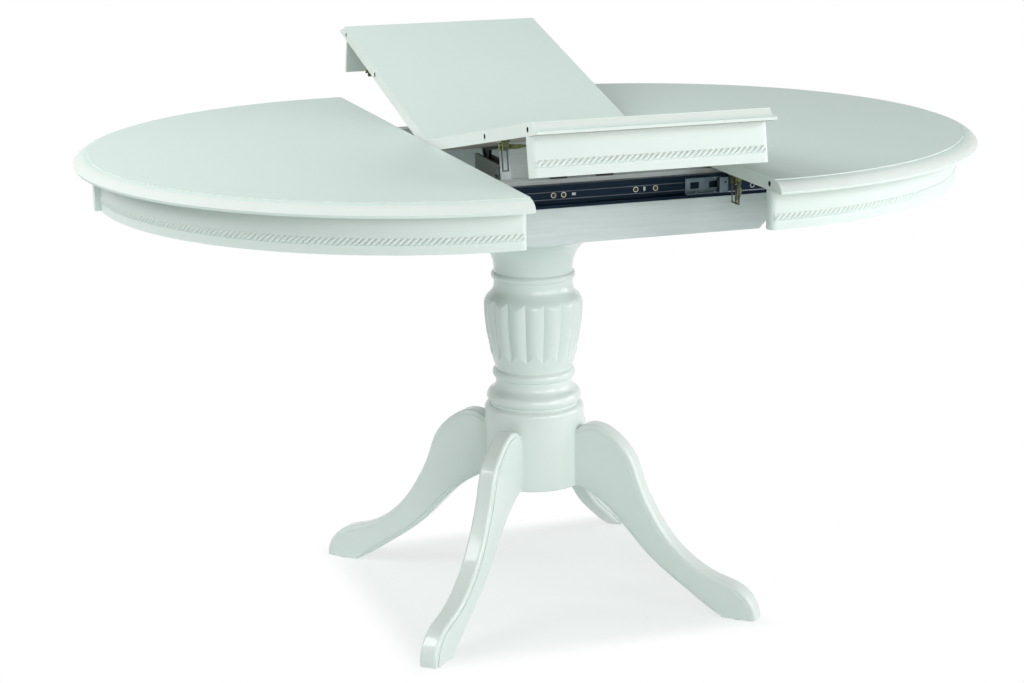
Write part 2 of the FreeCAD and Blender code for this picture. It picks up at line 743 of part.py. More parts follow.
# Half tops
def half_apron():
    """Bent apron with a shallow groove for the rope moulding and rounded ends."""
    inner = apron_radius - d.apron_thick
    body = turned(rectangle((inner, apron_radius), (apron_foot, under)), 180)
    doc.recompute()
    rounded = [f"Edge{place}" for place, edge in enumerate(body.Shape.Edges, start=1)
               if abs(edge.CenterOfMass.x) < d.edge_step.value
               and abs(abs(edge.CenterOfMass.y) - apron_radius.value) < d.edge_step.value
               and edge.BoundBox.ZLength > d.apron_height.value / 2]
    turn = body.Tip
    ease = body.newObject("PartDesign::Fillet", "ease")
    ease.Base = (turn, rounded)
    ease.setExpression("Radius", d.apron_round.text)
    low, high = rope_height - d.rope_high / 2, rope_height + d.rope_high / 2
    depth = (apron_radius - d.rope_seat, apron_radius + d.overrun)
    seat = sketch(body, "XZ_Plane", rectangle(depth, (low, high)))
    groove = body.newObject("PartDesign::Groove", "groove")
    groove.Profile = seat
    groove.ReferenceAxis = (seat, ["V_Axis"])
    groove.Midplane = True
    groove.Angle = 180 - 2 * rope_stop_angle()
    body.setExpression("Placement.Base.x", split.text)
    return body


def rope_stop_angle():
    return math.degrees(math.asin(d.rope_stop.value / apron_radius.value))


def rope_section(place):
    """Section of the rope moulding: a flat back in its groove and a round face."""
    back = place - d.rope_seat.value
    half = d.rope_high.value / 2
    low, high = rope_height.value - half, rope_height.value + half
    face = Part.Arc(Vector(place, 0, high), Vector(place + d.rope_proud.value, 0, rope_height.value),
                    Vector(place, 0, low))
    corners = [Vector(place, 0, low), Vector(back, 0, low), Vector(back, 0, high), Vector(place, 0, high)]
    return Part.Face(Part.Wire([face.toShape(), *Part.makePolygon(corners).Edges]))


def half_rope():
    """The bent moulding in two lengths, which stop at the end block and short of the split."""
    stop = 90 - rope_stop_angle()
    block = math.degrees(math.asin(d.block_wide.value / 2 / apron_radius.value))
    pieces = []
    for turn in (block, -stop):
        section = rope_section(apron_radius.value)
        section.rotate(Vector(), AXES["Z"], turn)
        pieces.append(section.revolve(Vector(), AXES["Z"], stop - block))
    item = solid(Part.makeCompound(pieces))
    item.setExpression("Placement.Base.x", split.text)
    return item


def end_block():
    start = split + apron_radius - d.block_proud
    board = box((start, d.block_proud * 2), (-(d.block_wide / 2), d.block_wide),
                (apron_foot + d.block_margin, d.apron_height - d.block_margin * 2))
    return cut(board, [rod("Z", apron_radius, d.top_height, split, ZERO, ZERO)])


def half_holes(radius, start, length):
    """Rods square to the split edge of a half top, at the places of the pins and bushes."""
    return [rod("X", radius, length, start, place * side, peg_height)
            for place in peg_places for side in SIDES.values()]


def lock_base(edge, inward, side):
    """A brass lock base near an edge: inward is the X direction from that edge into the board."""
    axis = edge + d.lock_setback * inward
    middle = lock_place * side
    plate = box((axis - d.lock_long / 2, d.lock_long), (middle - d.lock_wide / 2, d.lock_wide),
                (under - d.lock_plate, d.lock_plate))
    ears = [box((axis - d.ear_long / 2, d.ear_long), (start, d.ear_thick),
                (under - d.lock_plate - d.ear_drop, d.ear_drop))
            for start in (middle - d.lock_wide / 2, middle + d.lock_wide / 2 - d.ear_thick)]
    hole = rod("Y", d.wire_radius + d.wire_gap, d.lock_wide + d.overrun * 2, axis,
               middle - d.lock_wide / 2 - d.overrun, lock_axis)
    return cut(join([plate, *ears]), [hole])


def bail(edge, inward, side, swung=0):
    """A closed loop of wire in the ears of its lock base, which hangs or is swung in under the board."""
    axis = Vector((edge + d.lock_setback * inward).value, lock_place.value * side, lock_axis.value)
    aside = Vector(0, d.bail_half.value, 0)
    turn = math.radians(swung)
    down = Vector(inward * math.sin(turn), 0, -math.cos(turn)) * d.bail_length.value
    radius = d.wire_radius.value
    corners = [axis - aside, axis + aside, axis + aside + down, axis - aside + down]
    pieces = []
    for start, end in zip(corners, corners[1:] + corners[:1]):
        pieces.append(Part.makeCylinder(radius, (end - start).Length, start, end - start))
        pieces.append(Part.makeSphere(radius, start))
    return solid(pieces[0].multiFuse(pieces[1:]))


def keeper(edge, inward, side):
    """A brass plate with a lug that the wire bail of the next board hooks over."""
    middle = lock_place * side
    plate = across(d.keeper_edge, d.keeper_plate_long, inward)
    lug = across(d.keeper_setback, d.keeper_long, inward)
    return join([
        box((edge + plate[0], plate[1]), (middle - d.keeper_plate_wide / 2, d.keeper_plate_wide),
            (under - d.lock_plate, d.lock_plate)),
        box((edge + lug[0], lug[1]), (middle - d.keeper_wide / 2, d.keeper_wide),
            (under - d.keeper_drop, d.keeper_drop)),
    ])


def half_top(half):
    outline, arcs = edge_outline()
    board = turned(outline, 180, arcs)
    board.setExpression("Placement.Base.x", split.text)
    if half == "left":
        holes = half_holes(d.peg_radius, split - d.peg_proud, d.peg_sunk + d.peg_proud)
        fittings = half_holes(d.peg_radius, split - d.peg_proud, d.peg_sunk + d.peg_proud)
        node("left_pegs", on_half(fittings, half))
        node("left_keepers", on_half([keeper(split, 1, side) for side in SIDES.values()], half))
    else:
        holes = half_holes(d.bush_radius, split, d.bush_length)
        bores = half_holes(d.peg_radius + d.bush_gap, split - d.overrun, d.bush_length + d.overrun * 2)
        bushes = [cut(ring, [bore]) for ring, bore in
                  zip(half_holes(d.bush_radius, split, d.bush_length), bores)]
        node("right_bushes", group(bushes))
        node("right_lock_bases", group([lock_base(split, 1, side) for side in SIDES.values()]))
        for wing, side in SIDES.items():
            node(f"right_{wing}_bail", bail(split, 1, side))
    node(half + "_top", on_half([cut(board, holes)], half))
    node(half + "_apron", on_half([half_apron()], half))
    node(half + "_rope", on_half([half_rope()], half))
    node(half + "_end_block", on_half([end_block()], half))
    node(half + "_cleats", on_half([cleat(-1), cleat(1)], half))
    node(half + "_runners", on_half([runner(-1), runner(1)], half))
    node(half + "_runner_screws", on_half(runner_screws(-1) + runner_screws(1), half))


# Leaf and its carrier
def station_span(station, start, length, side):
    """The (start, length) pair of a plate beside a carrier station."""
    begin, length = across(start, length, side)
    return d.station_place * station + begin, length


def carrier_pins(side):
    """Two headed pins per station for the quadrant plates of one wing."""
    pieces = []
    for station in (-1, 1):
        shank = station_span(station, d.quadrant_gap - d.pin_over,
                             d.cheek_gap + d.cheek_thick - d.quadrant_gap + d.pin_over, side)
        head = station_span(station, d.cheek_gap + d.cheek_thick, d.pin_head_high, side)
        for angle in (ANGLES["pin_first"], ANGLES["pin_second"]):
            y = d.pin_swing * math.cos(math.radians(angle)) * side
            z = d.top_height - d.pin_swing * math.sin(math.radians(angle))
            pieces.append(join([rod("X", d.pin_radius, shank[1], shank[0], y, z),
                                rod("X", d.pin_head, head[1], head[0], y, z)]))
    return pieces


def carrier():
    """Steel carrier: a base plate on the pedestal plate with a cheek for each quadrant plate."""
    y = (-d.cheek_reach, d.cheek_reach * 2)
    cheek_high = under - d.cheek_drop - rail_foot
    pieces = [box((-d.carrier_reach, d.carrier_reach * 2), y, (rail_foot, d.carrier_base))]
    for station in (-1, 1):
        for side in SIDES.values():
            x = station_span(station, d.cheek_gap, d.cheek_thick, side)
            pieces.append(box(x, y, (rail_foot, cheek_high)))
    return cut(join(pieces), carrier_pins(-1) + carrier_pins(1))


def polar(radius, angle, side):
    turn = math.radians(angle)
    return Vector(0, side * radius * math.cos(turn), -radius * math.sin(turn))


def sector(inner, outer, first, last, side):
    """A flat piece of a ring below the fold, between two angles from the plane of the wing."""
    middle = (first + last) / 2
    edges = [
        Part.Arc(*(polar(outer, angle, side) for angle in (first, middle, last))).toShape(),
        Part.makeLine(polar(outer, last, side), polar(inner, last, side)),
        Part.Arc(*(polar(inner, angle, side) for angle in (last, middle, first))).toShape(),
        Part.makeLine(polar(inner, first, side), polar(outer, first, side)),
    ]
    return Part.Face(Part.Wire(edges))


def quadrant(station, side):
    """A slotted plate about the fold, with a foot that is screwed under the wing."""
    swing, rim = d.pin_swing.value, d.quadrant_rim.value
    first, last = ANGLES["pin_first"], ANGLES["pin_second"] + ANGLES["slot_sweep"]
    inner, outer = swing - rim, swing + rim
    thick = Vector(d.quadrant_thick.value, 0, 0)
    plate = sector(inner, outer, first - ANGLES["quadrant_end"], last + ANGLES["quadrant_end"], side)
    neck_height = -d.top_thick.value - d.foot_thick.value / 2
    foot_end = d.foot_start.value + d.foot_length.value
    neck = Part.Face(Part.makePolygon([
        Vector(0, side * d.foot_start.value, neck_height), Vector(0, side * foot_end, neck_height),
        polar(outer, ANGLES["pin_second"], side), polar(inner, ANGLES["pin_second"], side),
        Vector(0, side * d.foot_start.value, neck_height)]))
    width = d.pin_radius.value + d.slot_gap.value
    slot = sector(swing - width, swing + width, first, last, side).extrude(thick)
    ends = [Part.makeCylinder(width, thick.x, polar(swing, angle, side), AXES["X"])
            for angle in (first, last)]
    shape = plate.extrude(thick).fuse(neck.extrude(thick)).cut(slot.multiFuse(ends))
    begin = station_span(station, d.quadrant_gap, d.quadrant_thick, side)[0].value
    shape.translate(Vector(begin, 0, d.top_height.value))
    foot_x = station_span(station, d.quadrant_gap, d.foot_wide, side)[0].value
    foot_y = across(d.foot_start, d.foot_length, side)[0].value
    foot = Part.makeBox(d.foot_wide.value, d.foot_length.value, d.foot_thick.value,
                        Vector(foot_x, foot_y, under.value - d.foot_thick.value))
    return solid(shape.fuse(foot))


def wing_rods(radius, start, length, side):
    """Rods square to the ends of a wing, at the places of its pins and bushes."""
    return [rod("X", radius, length, start, place * side, peg_height) for place in peg_places]


def wing_apron(side):
    """Straight apron with the same groove and rounded ends as the bent ones."""
    half, ease = d.leaf_width / 2, d.apron_round
    inner = apron_radius - d.apron_thick
    outline = [
        (-half, inner), (half, inner), (half, apron_radius - ease), (half - ease, apron_radius),
        (ease - half, apron_radius), (-half, apron_radius - ease),
    ]
    arcs = {2: (ease, side < 0), 4: (ease, side < 0)}
    board = padded("XY_Plane", [(x, y * side) for x, y in outline], d.apron_height, arcs)
    board.setExpression("Placement.Base.z", (apron_foot + d.apron_height / 2).text)
    seat = box((-(d.leaf_width / 2) + d.rope_stop, d.leaf_width - d.rope_stop * 2),
               across(apron_radius - d.rope_seat, d.rope_seat + d.overrun, side),
               (rope_height - d.rope_high / 2, d.rope_high))
    return cut(board, [seat])


def wing_rope(side):
    section = rope_section(apron_radius.value)
    section.rotate(Vector(), AXES["Z"], 90 * side)
    length = d.leaf_width.value - 2 * d.rope_stop.value
    section.translate(Vector(-length / 2, 0, 0))
    return solid(section.extrude(Vector(length, 0, 0)))


def leaf_wing(wing):
    side = SIDES[wing]
    edge = d.leaf_width / 2
    outline, arcs = edge_outline()
    board = padded("YZ_Plane", [(y * side, z) for y, z in outline], d.leaf_width,
                   {place: (radius, left == (side < 0)) for place, (radius, left) in arcs.items()})
    peg_run = (d.peg_radius, edge - d.peg_sunk, d.peg_sunk + d.peg_proud, side)
    bush_run = (d.bush_radius, -edge, d.bush_length, side)
    bores = wing_rods(d.peg_radius + d.bush_gap, -edge - d.overrun, d.bush_length + d.overrun * 2, side)
    bushes = [cut(ring, [bore]) for ring, bore in zip(wing_rods(*bush_run), bores)]
    batten_half = d.cross_place - d.cross_thick / 2 - d.batten_side_gap
    batten_start = rail_inner - d.batten_gap - d.batten_deep
    batten = box((-batten_half, batten_half * 2), across(batten_start, d.batten_deep, side),
                 (under - d.batten_high, d.batten_high))
    pieces = {
        "leaf": [cut(board, wing_rods(*peg_run) + wing_rods(*bush_run))],
        "leaf_apron": [wing_apron(side)],
        "leaf_rope": [wing_rope(side)],
        "leaf_batten": [batten],
        "leaf_quadrants": [quadrant(station, side) for station in (-1, 1)],
        "leaf_pegs": wing_rods(*peg_run),
        "leaf_bushes": bushes,
        "leaf_lock_base": [lock_base(-edge, 1, side)],
        "leaf_keeper": [keeper(edge, -1, side)],
        "leaf_bail": [bail(-edge, 1, side, ANGLES[wing + "_catch"])],
    }
    for label, items in pieces.items():
        node(f"{wing}_{label}", lifted(items, wing))


def main():
    pedestal()
    frame()
    for half in TURNS:
        half_top(half)
    node("leaf_carrier", carrier())
    node("carrier_pins", group(carrier_pins(-1) + carrier_pins(1)))
    for wing in SIDES:
        leaf_wing(wing)
    doc.recompute()
    broken = [item.Label for item in doc.Objects if "Invalid" in item.State or "Error" in item.State]
    broken += [item.Label for item in nodes if item.Shape.isNull() or not item.Shape.isValid()]
    if broken:
        raise RuntimeError("not built: " + ", ".join(broken))
    os.makedirs("parts", exist_ok=True)
    for item in nodes:
        item.Shape.exportStep(f"parts/{item.Label}.step")


main()
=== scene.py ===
"""Butterfly leaf table: finishes, rope mouldings, fittings, light and camera around the CAD model."""
import json
import math
import bmesh
import bpy
from mathutils import Matrix, Vector


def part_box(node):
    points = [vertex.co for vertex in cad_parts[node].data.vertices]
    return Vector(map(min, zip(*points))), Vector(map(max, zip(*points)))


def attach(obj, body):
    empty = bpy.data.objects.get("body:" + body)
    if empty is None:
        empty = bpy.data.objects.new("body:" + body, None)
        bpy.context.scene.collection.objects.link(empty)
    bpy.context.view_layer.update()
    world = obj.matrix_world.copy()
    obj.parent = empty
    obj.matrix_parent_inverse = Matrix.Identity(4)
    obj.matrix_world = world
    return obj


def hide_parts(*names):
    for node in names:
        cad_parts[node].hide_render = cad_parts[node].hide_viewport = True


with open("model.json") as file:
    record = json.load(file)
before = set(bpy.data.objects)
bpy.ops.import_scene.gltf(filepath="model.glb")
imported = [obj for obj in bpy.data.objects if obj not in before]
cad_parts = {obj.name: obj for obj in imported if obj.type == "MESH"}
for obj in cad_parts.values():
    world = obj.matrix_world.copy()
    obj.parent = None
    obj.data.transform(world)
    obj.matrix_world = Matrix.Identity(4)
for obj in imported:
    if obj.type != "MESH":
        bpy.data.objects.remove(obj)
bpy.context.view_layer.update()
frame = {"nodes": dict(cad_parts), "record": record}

nodes = frame["nodes"]
record = frame["record"]
MM = 0.001


def put_in_scene(name, data):
    """A new object of the scene that holds a mesh, a lamp or a camera."""
    item = bpy.data.objects.new(name, data)
    bpy.context.scene.collection.objects.link(item)
    return item


# Camera, fitted to the rims, split lines, column and feet
CAMERA_PLACE = Vector((-1.1113, -3.2139, 1.2908))
CAMERA_YAW = math.radians(18.492)
CAMERA_PITCH = math.radians(14.458)
CAMERA_ROLL = math.radians(-0.607)
CAMERA_LENS = 77.05
SENSOR_WIDTH = 36


def make_camera():
    data = bpy.data.cameras.new("camera")
    data.lens = CAMERA_LENS
    data.sensor_fit = "HORIZONTAL"
    data.sensor_width = SENSOR_WIDTH
    camera = put_in_scene("camera", data)
    turn = Matrix.Rotation(-CAMERA_YAW, 4, "Z") @ Matrix.Rotation(math.pi / 2 - CAMERA_PITCH, 4, "X")
    camera.matrix_world = Matrix.Translation(CAMERA_PLACE) @ turn @ Matrix.Rotation(CAMERA_ROLL, 4, "Z")
    bpy.context.scene.camera = camera


# Shader graphs
class Graph:
    """The node tree of a material or world, with short calls for its nodes."""

    def __init__(self, tree):
        self.tree = tree

    def node(self, kind, **settings):
        item = self.tree.nodes.new(kind)
        for name, value in settings.items():
            setattr(item, name, value)
        return item

    def link(self, source, target):
        self.tree.links.new(source, target)

    def math(self, operation, first, second):
        item = self.node("ShaderNodeMath", operation=operation)
        self.link(first, item.inputs[0])
        self.link(second, item.inputs[1])
        return item.outputs["Value"]

    def seen(self):
        """1 for what the camera sees, also in reflections, and 0 for light that falls on the object."""
        path = self.node("ShaderNodeLightPath")
        direct = self.math("MAXIMUM", path.outputs["Is Camera Ray"], path.outputs["Is Glossy Ray"])
        return self.math("MAXIMUM", direct, path.outputs["Is Transmission Ray"])

    def blend(self, factor, first, second):
        """Two shaders mixed by a factor."""
        item = self.node("ShaderNodeMixShader")
        self.link(factor, item.inputs["Fac"])
        self.link(first, item.inputs[1])
        self.link(second, item.inputs[2])
        return item.outputs["Shader"]

    def show(self, shader, output_kind):
        self.link(shader, self.node(output_kind).inputs["Surface"])


def empty_graph(holder):
    """The graph of a new material or world, without the nodes that it starts with."""
    holder.use_nodes = True
    holder.node_tree.nodes.clear()
    return Graph(holder.node_tree)


# Part of its range over which a noise turns from one tone to the other
RAMP_STOPS = (0.35, 0.65)
# Colour sockets of the mix node, which has others of the same names
MIX_FIRST = 6
MIX_SECOND = 7
MIX_RESULT = 2


class Finish(Graph):
    """A material of one Principled shader, with procedural colour, roughness and bump."""

    def __init__(self, name, **sockets):
        self.name = name
        self.material = bpy.data.materials.new(name)
        self.material.use_nodes = True
        super().__init__(self.material.node_tree)
        self.shader = self.tree.nodes["Principled BSDF"]
        for socket, value in sockets.items():
            self.shader.inputs[socket.replace("_", " ").title().replace("Ior", "IOR")].default_value = value
        self.place = self.node("ShaderNodeTexCoord")

    def noise(self, scale, detail=3, stretch=(1, 1, 1)):
        mapping = self.node("ShaderNodeMapping")
        mapping.inputs["Scale"].default_value = stretch
        self.link(self.place.outputs["Object"], mapping.inputs["Vector"])
        item = self.node("ShaderNodeTexNoise")
        item.inputs["Scale"].default_value = scale
        item.inputs["Detail"].default_value = detail
        self.link(mapping.outputs["Vector"], item.inputs["Vector"])
        return item.outputs["Fac"]

    def ramp(self, factor, low, high):
        """A colour between two tones that follows a noise."""
        item = self.node("ShaderNodeValToRGB")
        for stop, place, tone in zip(item.color_ramp.elements, RAMP_STOPS, (low, high)):
            stop.position = place
            stop.color = (*tone, 1)
        self.link(factor, item.inputs["Fac"])
        return item.outputs["Color"]

    def facing_up(self):
        """How far a surface faces up: 1 on top and -1 underneath."""
        item = self.node("ShaderNodeSeparateXYZ")
        self.link(self.place.outputs["Normal"], item.inputs["Vector"])
        return item.outputs["Z"]

    def span(self, value, start, end):
        """0 at the start and 1 at the end of a span of a value, clamped."""
        item = self.node("ShaderNodeMapRange")
        item.inputs["From Min"].default_value = start
        item.inputs["From Max"].default_value = end
        self.link(value, item.inputs["Value"])
        return item.outputs["Result"]

    def mix(self, factor, first, second):
        """Two colours mixed by a factor."""
        item = self.node("ShaderNodeMix", data_type="RGBA")
        self.link(factor, item.inputs["Factor"])
        self.link(first, item.inputs[MIX_FIRST])
        self.link(second, item.inputs[MIX_SECOND])
        return item.outputs[MIX_RESULT]

    def colour(self, output):
        self.link(output, self.shader.inputs["Base Color"])

    def rough(self, factor, limits):
        low, high = [(value,) * 3 for value in limits]
        self.link(self.ramp(factor, low, high), self.shader.inputs["Roughness"])

    def bump(self, factor, strength, distance):
        item = self.node("ShaderNodeBump")
        item.inputs["Strength"].default_value = strength
        item.inputs["Distance"].default_value = distance
        self.link(factor, item.inputs["Height"])
        self.link(item.outputs["Normal"], self.shader.inputs["Normal"])


# Wood and its paints, each from its deepest to its lightest tone
LACQUER_TONES = ((0.752, 0.815, 0.788), (0.758, 0.82, 0.794))
# Boards: a greener, darker painted shade tint for their tops and a whiter painted lit tone for their edges
SHADE_TINTED_TOP_TONES = ((0.736, 0.845, 0.806), (0.742, 0.85, 0.812))
LIT_EDGE_TONES = ((0.794, 0.843, 0.816), (0.8, 0.848, 0.822))
PRIMER_TONES = ((0.3, 0.27, 0.24), (0.4, 0.37, 0.335))
PALE_WOOD_TONES = ((0.6, 0.65, 0.645), (0.655, 0.705, 0.7))
BEECH_TONES = ((0.42, 0.26, 0.13), (0.58, 0.4, 0.23))
CLOUD_SCALE = 6
SHEEN_SCALE = 12
PEEL_SCALE = 900
PEEL_STRENGTH = 0.012
PEEL_HEIGHT = 0.1 * MM
COAT_ROUGHNESS = 0.1
LACQUER_ROUGHNESS = (0.42, 0.44)
BOARD_ROUGHNESS = (0.6, 0.64)
BOARD_SHINE = 0.03
# How far up a face must point to take the painted shade tint of the tops
TINTED_TOP_FACING = (0.9, 0.96)
UNDERSIDE_FACING = (-0.6, -0.85)
GRAIN_STRENGTH = 0.05
GRAIN_HEIGHT = 0.15 * MM


def sprayed(name, gloss, shine, roughness):
    """Sprayed paint before its colour: an even sheen and a fine orange-peel."""
    finish = Finish(name, specular_ior_level=shine, coat_weight=gloss, coat_roughness=COAT_ROUGHNESS)
    finish.rough(finish.noise(SHEEN_SCALE), roughness)
    finish.bump(finish.noise(PEEL_SCALE, detail=2), PEEL_STRENGTH, PEEL_HEIGHT)
    return finish


def lacquer(name, gloss, shine):
    """White lacquer with a faint cloudiness."""
    finish = sprayed(name, gloss, shine, LACQUER_ROUGHNESS)
    finish.colour(finish.ramp(finish.noise(CLOUD_SCALE), *LACQUER_TONES))
    return finish


def lacquered_board(name):
    """Nearly matt lacquer, tinted greener and darker on the tops as painted shade and whiter at the edges
    as painted light, with a thin brownish-grey primer underneath.
    """
    finish = sprayed(name, gloss=0, shine=BOARD_SHINE, roughness=BOARD_ROUGHNESS)
    cloud = finish.noise(CLOUD_SCALE)
    upward = finish.facing_up()
    shade_tinted_top = finish.span(upward, *TINTED_TOP_FACING)
    below = finish.span(upward, *UNDERSIDE_FACING)
    # Tops take the painted shade tint, edges the painted lit tone
    white = finish.mix(shade_tinted_top, finish.ramp(cloud, *LIT_EDGE_TONES), finish.ramp(cloud, *SHADE_TINTED_TOP_TONES))
    grain = finish.noise(scale=14, detail=5, stretch=(2, 14, 14))
    finish.colour(finish.mix(below, white, finish.ramp(grain, *PRIMER_TONES)))
    return finish


def pale_wood(name):
    """Thin grey-white paint that lets a little of the grain show."""
    finish = Finish(name, specular_ior_level=0.4)
    grain = finish.noise(scale=10, detail=6, stretch=(1.2, 16, 16))
    finish.colour(finish.ramp(grain, *PALE_WOOD_TONES))
    finish.rough(grain, limits=(0.45, 0.55))
    finish.bump(grain, GRAIN_STRENGTH, GRAIN_HEIGHT)
    return finish


def turned_beech(name):
    """Bare beech with a long grain."""
    finish = Finish(name, specular_ior_level=0.35)
    grain = finish.noise(scale=60, detail=5, stretch=(1, 8, 8))
    finish.colour(finish.ramp(grain, *BEECH_TONES))
    finish.rough(grain, limits=(0.5, 0.62))
    return finish


# Metals and plastics, each with its deepest and lightest tone
MOULD_GRAIN_SCALE = 1500
MOULD_GRAIN_STRENGTH = 0.05
MOULD_GRAIN_HEIGHT = 0.05 * MM


def coated_steel(name, low, high, roughness=(0.28, 0.4), gloss=0.5):
    """Coated steel with fine rolling lines along the section."""
    finish = Finish(name, metallic=0.6, specular_ior_level=gloss)
    lines = finish.noise(scale=40, detail=4, stretch=(0.6, 25, 25))
    finish.colour(finish.ramp(lines, low, high))
    finish.rough(lines, roughness)
    return finish


def bare_metal(name, low, high):
    """Plated or dull metal with cloudy tarnish."""
    finish = Finish(name, metallic=1.0)
    tarnish = finish.noise(scale=120, detail=5)
    finish.colour(finish.ramp(tarnish, low, high))
    finish.rough(tarnish, limits=(0.25, 0.45))
    return finish


def moulded_plastic(name, low, high, roughness=(0.42, 0.55)):
    """Plastic or rubber with the fine grain of its mould."""
    finish = Finish(name, specular_ior_level=0.4)
    cloud = finish.noise(scale=60, detail=4)
    finish.colour(finish.ramp(cloud, low, high))
    finish.rough(cloud, roughness)
    finish.bump(finish.noise(MOULD_GRAIN_SCALE, detail=1), MOULD_GRAIN_STRENGTH, MOULD_GRAIN_HEIGHT)
    return finish


FINISHES = (
    lacquer("white_lacquer", gloss=0.1, shine=0.25),
    lacquer("gloss_lacquer", gloss=0.8, shine=0.4),
    lacquered_board("lacquered_board"),
    pale_wood("pale_wood"),
    turned_beech("beech"),
    coated_steel("dark_steel", (0.002, 0.008, 0.016), (0.006, 0.017, 0.03), gloss=0.15),
    # The runners' steel is a lighter copy of dark_steel: painted light on their lit faces
    coated_steel("lit_runner_steel", (0.009, 0.018, 0.03), (0.019, 0.034, 0.054), gloss=0.2),
    coated_steel("black_steel", (0.012, 0.012, 0.013), (0.03, 0.03, 0.032)),
    coated_steel("grey_steel", (0.28, 0.31, 0.29), (0.36, 0.39, 0.37), roughness=(0.4, 0.52)),
    coated_steel("dark_wire", (0.038, 0.046, 0.055), (0.095, 0.112, 0.132)),
    bare_metal("zinc_steel", (0.3, 0.35, 0.42), (0.42, 0.47, 0.54)),
    bare_metal("brass", (0.125, 0.138, 0.058), (0.305, 0.325, 0.17)),
    bare_metal("screw_brass", (0.3, 0.3, 0.22), (0.5, 0.49, 0.38)),
    moulded_plastic("dark_plastic", (0.02, 0.02, 0.02), (0.04, 0.04, 0.038)),
    moulded_plastic("grey_plastic", (0.095, 0.138, 0.168), (0.18, 0.235, 0.275)),
    moulded_plastic("glide_plastic", (0.6, 0.62, 0.61), (0.7, 0.72, 0.71)),
    moulded_plastic("rest_rubber", (0.012, 0.012, 0.012), (0.028, 0.027, 0.026), roughness=(0.6, 0.75)),
)
material_named = {finish.name: finish.material for finish in FINISHES}

# Nodes whose finish isn't the plain one of their material slot
SPECIAL_FINISHES = {
    "lacquered_board": ("left_top", "right_top", "front_leaf", "back_leaf"),
    "gloss_lacquer": ("column", "leg_front_left", "leg_front_right", "leg_back_left", "leg_back_right"),
    # The runners take the lighter steel copy, painted light
    "lit_runner_steel": ("left_runners", "right_runners"),
    "screw_brass": ("slide_screws",),
}
finish_of = {part["node"]: part["material_slot"] for part in record["subparts"]}
for special, special_nodes in SPECIAL_FINISHES.items():
    finish_of.update(dict.fromkeys(special_nodes, special))


def dress(piece, finish):
    piece.data.materials.clear()
    piece.data.materials.append(material_named[finish])


for node_name, node_piece in nodes.items():
    dress(node_piece, finish_of[node_name])


# New pieces
SHARP_ANGLE = math.radians(50)
ROUND_STEPS = 28


def new_mesh(name, rings, looped=False):
    """A closed tube from equal rings of points, capped at its ends or joined from the last to the first."""
    mesh = bmesh.new()
    rows = [[mesh.verts.new(point) for point in ring] for ring in rings]
    count = len(rows[0])
    pairs = list(zip(rows, rows[1:]))
    if looped:
        pairs.append((rows[-1], rows[0]))
    for first, second in pairs:
        for place in range(count):
            after = (place + 1) % count
            mesh.faces.new((first[place], second[place], second[after], first[after]))
    if not looped:
        mesh.faces.new(rows[0])
        mesh.faces.new(rows[-1][::-1])
    bmesh.ops.recalc_face_normals(mesh, faces=mesh.faces)
    data = bpy.data.meshes.new(name)
    mesh.to_mesh(data)
    mesh.free()
    data.shade_smooth()
    data.set_sharp_from_angle(angle=SHARP_ANGLE)
    return put_in_scene(name, data)


def block(name, corner, opposite):
    """A closed box between two opposite corners."""
    (x, y, z), (far_x, far_y, far_z) = corner, opposite
    sides = [(y, z), (far_y, z), (far_y, far_z), (y, far_z)]
    return new_mesh(name, [[(end, *side) for side in sides] for end in (x, far_x)])


def disc(name, middle, faces, outer, inner=0.0):
    """A closed disc, or a ring if it has an inner radius, between two faces on its axis along Y."""
    turns = [2 * math.pi * step / ROUND_STEPS for step in range(ROUND_STEPS)]

    def circle(radius, y):
        x, z = middle
        return [(x + radius * math.cos(turn), y, z + radius * math.sin(turn)) for turn in turns]

    near, far = faces
    rings = [circle(outer, near), circle(outer, far)]
    if inner:
        rings += [circle(inner, far), circle(inner, near)]
    return new_mesh(name, rings, looped=inner > 0)


def finish_piece(piece, body, slot, node=None):
    """Give a new piece its finish, the body that it rides, and any node that it replaces."""
    dress(piece, slot)
    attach(piece, body)
    if node:
        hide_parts(node)


# Wings of the leaf
FOLD = Vector((0, 0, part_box("right_top")[1][2]))
WING_SIDES = {"front": -1, "back": 1}
joint_range = {joint["name"]: joint.get("range_deg") for joint in record["behaviour"]["joints"]}


def lifted(wing, point):
    """A point of a wing, given as the wing lies flat, moved to where the wing rests."""
    angle = -math.radians(joint_range[wing + "_wing_fold"][0]) * WING_SIDES[wing]
    return FOLD + Matrix.Rotation(angle, 3, "X") @ (Vector(point) - FOLD)


# Rope mouldings
STRAND_PITCH = 8.5 * MM
STRAND_SLANT = 1.15
STRAND_STEPS = 10
FACE_STEPS = 10
VALLEY_DEPTH = 1.7 * MM
ROPE_HALF = 5 * MM
ROPE_SEAT = 3 * MM
ROPE_PROUD = 2.4 * MM
ROPE_LOW, ROPE_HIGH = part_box("left_rope")
ROPE_MIDDLE = (ROPE_LOW[2] + ROPE_HIGH[2]) / 2
ROPE_RADIUS = ROPE_HIGH[1] - ROPE_PROUD
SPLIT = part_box("right_top")[0][0]
ROPE_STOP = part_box("right_rope")[0][0] - SPLIT
BLOCK_LOW, BLOCK_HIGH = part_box("right_end_block")
BLOCK_HALF = (BLOCK_HIGH[1] - BLOCK_LOW[1]) / 2


def rope_ring(along):
    """(height, reach) pairs of the moulding at one place: slanting strands round a flat back."""
    ring = []
    for step in range(FACE_STEPS + 1):
        height = ROPE_HALF * (2 * step / FACE_STEPS - 1)
        rise = ROPE_PROUD * (1 - (height / ROPE_HALF) ** 2)
        strand = (along / STRAND_PITCH - STRAND_SLANT * height / (2 * ROPE_HALF)) % 1
        crown = math.sqrt(max(1 - (2 * strand - 1) ** 2, 0))
        ring.append((height, (rise + VALLEY_DEPTH) * crown - VALLEY_DEPTH))
    return [(-ROPE_HALF, -ROPE_SEAT), *ring, (ROPE_HALF, -ROPE_SEAT)]


